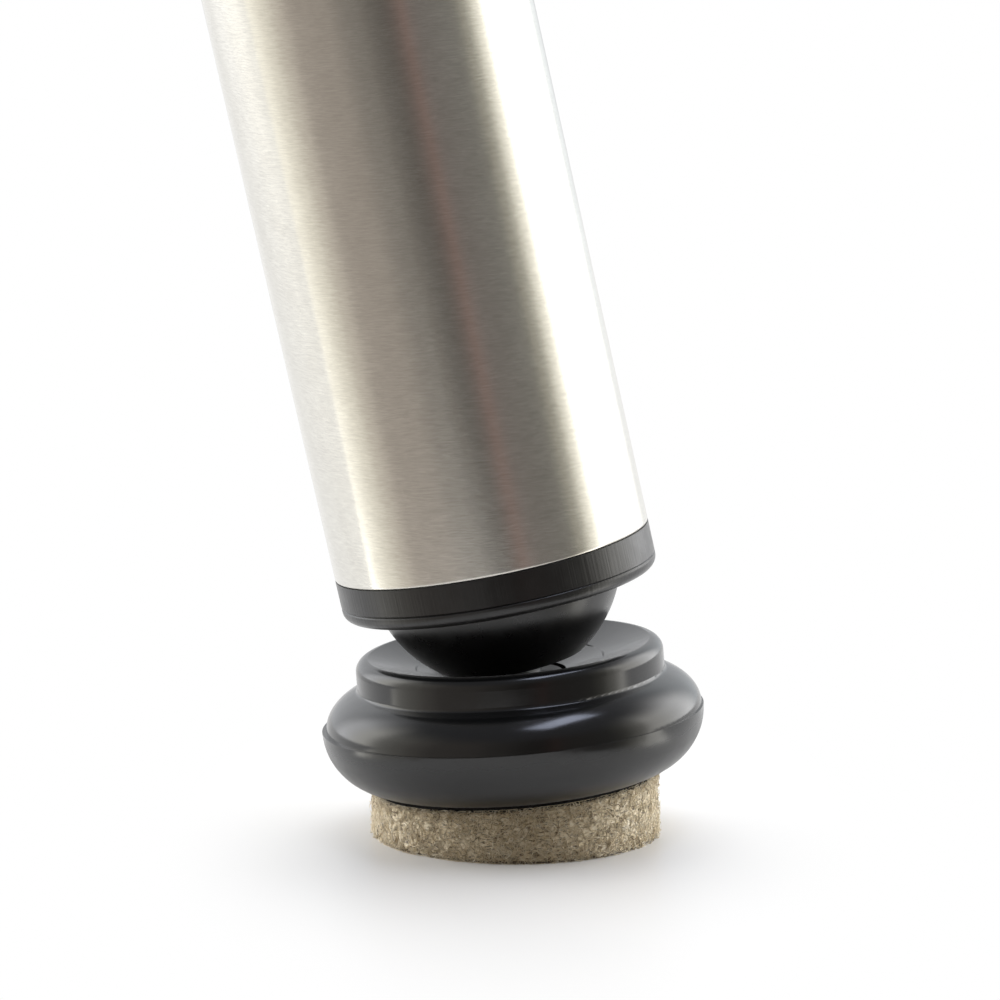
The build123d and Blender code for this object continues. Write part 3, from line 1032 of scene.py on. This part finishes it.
def white_board(colours):
    """Satin white board: it shows soft shadows and glows a little, so that it is nearly white elsewhere.

    Away from the object it fades into the white background. To matt surfaces it gives back less light.
    """
    material, tree, output = new_tree("white_board")
    board = add(
        tree,
        "ShaderNodeBsdfPrincipled",
        {"Base Color": rgba(colours.floor), "Roughness": 0.35, "Specular IOR Level": 0.5},
    )
    glow = add(tree, "ShaderNodeEmission", {"Strength": BOARD_GLOW})
    near = add(tree, "ShaderNodeAddShader", {0: board.outputs[0], 1: glow.outputs[0]})
    place = add(tree, "ShaderNodeTexCoord")
    oval = add(tree, "ShaderNodeMapping", {"Vector": place.outputs["Object"], "Scale": (FADE_NARROWER, 1, 1)})
    away = add(tree, "ShaderNodeVectorMath", {0: oval.outputs[0]}, operation="LENGTH")
    fade = add(
        tree,
        "ShaderNodeMapRange",
        {"Value": away.outputs["Value"], "From Min": FADE_START, "From Max": FADE_END},
        interpolation_type="SMOOTHSTEP",
    )
    white = add(tree, "ShaderNodeEmission", {"Strength": 1.0})
    both = add(tree, "ShaderNodeMixShader", {0: fade.outputs[0], 1: near.outputs[0], 2: white.outputs[0]})
    bounce = add(tree, "ShaderNodeBsdfDiffuse", {"Color": rgba(colours.floor_bounce)})
    seen = add(tree, "ShaderNodeLightPath")
    either = add(
        tree,
        "ShaderNodeMath",
        {0: seen.outputs["Is Camera Ray"], 1: seen.outputs["Is Glossy Ray"]},
        operation="MAXIMUM",
    )
    either = add(
        tree,
        "ShaderNodeMath",
        {0: either.outputs[0], 1: seen.outputs["Is Transmission Ray"]},
        operation="MAXIMUM",
    )
    switch = add(
        tree, "ShaderNodeMixShader", {0: either.outputs[0], 1: bounce.outputs[0], 2: both.outputs[0]}
    )
    tree.links.new(switch.outputs[0], output.inputs[0])
    return material


# Softboxes: name, place, width and depth, watts, colour, and whether gloss mirrors them. The strip runs
# overhead, the top light is a large soft one, and the two side lights stand low and a little behind
SOFTBOXES = (
    ("strip", (0.08, -0.035, 0.4), (0.22, 0.08), 0.3, "#dfe8ff", True),
    ("top_light", (0.0, 0.24, 0.52), (0.42, 0.42), 2.1, "#ffffff", False),
    ("left_light", (-0.25, 0.08, 0.08), (0.3, 0.2), 0.85, "#fbfcff", False),
    ("right_light", (0.25, 0.11, 0.08), (0.3, 0.2), 0.88, "#fbfcff", False),
)


def softbox(name, place, size, watts, colour, mirrored):
    """A rectangular area light that faces the object's middle."""
    lamp = bpy.data.lights.new(name, "AREA")
    lamp.shape, lamp.size, lamp.size_y = "RECTANGLE", *size
    lamp.energy, lamp.color = watts, linear(colour)
    box = bpy.data.objects.new(name, lamp)
    box.location = place
    box.rotation_euler = Vector(place).to_track_quat("Z", "Y").to_euler()
    box.visible_glossy = mirrored
    bpy.context.scene.collection.objects.link(box)


# The camera looks straight at the object from a low height and some way off
CAMERA_TARGET = np.array([-1.232, 0.0, 26.552]) * MM
CAMERA_DISTANCE = 367.7 * MM
CAMERA_ELEVATION = math.radians(9.28)
CAMERA_LENS_MM, CAMERA_SENSOR_MM = 168.9, 36.0


class GLIDE_OT_stage(bpy.types.Operator):
    """Makes the floor, the light and the camera"""

    bl_idname = "glide.stage"
    bl_label = "Stage"

    def execute(self, context):
        scene = context.scene
        scene.view_settings.view_transform = "Standard"
        scene.world = studio_world()
        # In front the board is just larger than the part where shadows show, so that gloss mirrors the
        # dark room beyond it
        corners = [(BOARD_SIDE, BOARD_BACK, 0), (-BOARD_SIDE, BOARD_BACK, 0), (-BOARD_SIDE, 0, 0)]
        corners += [
            (-BOARD_FRONT_SIDE * math.cos(turn), -BOARD_FRONT * math.sin(turn), 0)
            for turn in np.linspace(0, math.pi, BOARD_FRONT_CORNERS)
        ]
        corners += [(BOARD_SIDE, 0, 0)]
        mesh = bpy.data.meshes.new("floor")
        mesh.from_pydata(corners, [], [range(len(corners))])
        floor = bpy.data.objects.new("floor", mesh)
        scene.collection.objects.link(floor)
        mesh.materials.append(white_board(scene.glide_colours))
        for name, *settings in SOFTBOXES:
            softbox(name, *settings)
        lens = bpy.data.cameras.new("camera")
        lens.sensor_width, lens.lens = CAMERA_SENSOR_MM, CAMERA_LENS_MM
        lens.clip_start, lens.clip_end = 0.01, 10
        camera = bpy.data.objects.new("camera", lens)
        outward = np.array([0, -math.cos(CAMERA_ELEVATION), math.sin(CAMERA_ELEVATION)])
        camera.location = CAMERA_TARGET + CAMERA_DISTANCE * outward
        camera.rotation_euler = (math.pi / 2 - CAMERA_ELEVATION, 0, 0)
        scene.collection.objects.link(camera)
        scene.camera = camera
        return {"FINISHED"}


class GLIDE_PT_panel(bpy.types.Panel):
    """Lists the glide's pieces in the sidebar"""

    bl_label = "Swivel felt glide"
    bl_idname = "GLIDE_PT_panel"
    bl_space_type = "VIEW_3D"
    bl_region_type = "UI"
    bl_category = "Glide"

    def draw(self, context):
        for operator in OPERATORS:
            self.layout.operator(operator.bl_idname)
        for group in (context.scene.glide_sizes, context.scene.glide_colours):
            for name in group.bl_rna.properties.keys():
                if name not in ("rna_type", "name"):
                    self.layout.prop(group, name)


OPERATORS = (
    GLIDE_OT_leg_tube,
    GLIDE_OT_plastics,
    GLIDE_OT_stud,
    GLIDE_OT_foam_tape,
    GLIDE_OT_felt_pad,
    GLIDE_OT_felt_fibres,
    GLIDE_OT_stage,
)
CLASSES = (GlideSizes, GlideColours, *OPERATORS, GLIDE_PT_panel)


def register():
    for made in CLASSES:
        bpy.utils.register_class(made)
    bpy.types.Scene.glide_sizes = bpy.props.PointerProperty(type=GlideSizes)
    bpy.types.Scene.glide_colours = bpy.props.PointerProperty(type=GlideColours)


def unregister():
    del bpy.types.Scene.glide_colours
    del bpy.types.Scene.glide_sizes
    for made in reversed(CLASSES):
        bpy.utils.unregister_class(made)


def main():
    register()
    bpy.ops.glide.leg_tube()
    bpy.ops.glide.plastics()
    bpy.ops.glide.stud()
    bpy.ops.glide.foam_tape()
    bpy.ops.glide.felt_pad()
    bpy.ops.glide.felt_fibres()
    bpy.ops.glide.stage()


if __name__ == "__main__":
    main()
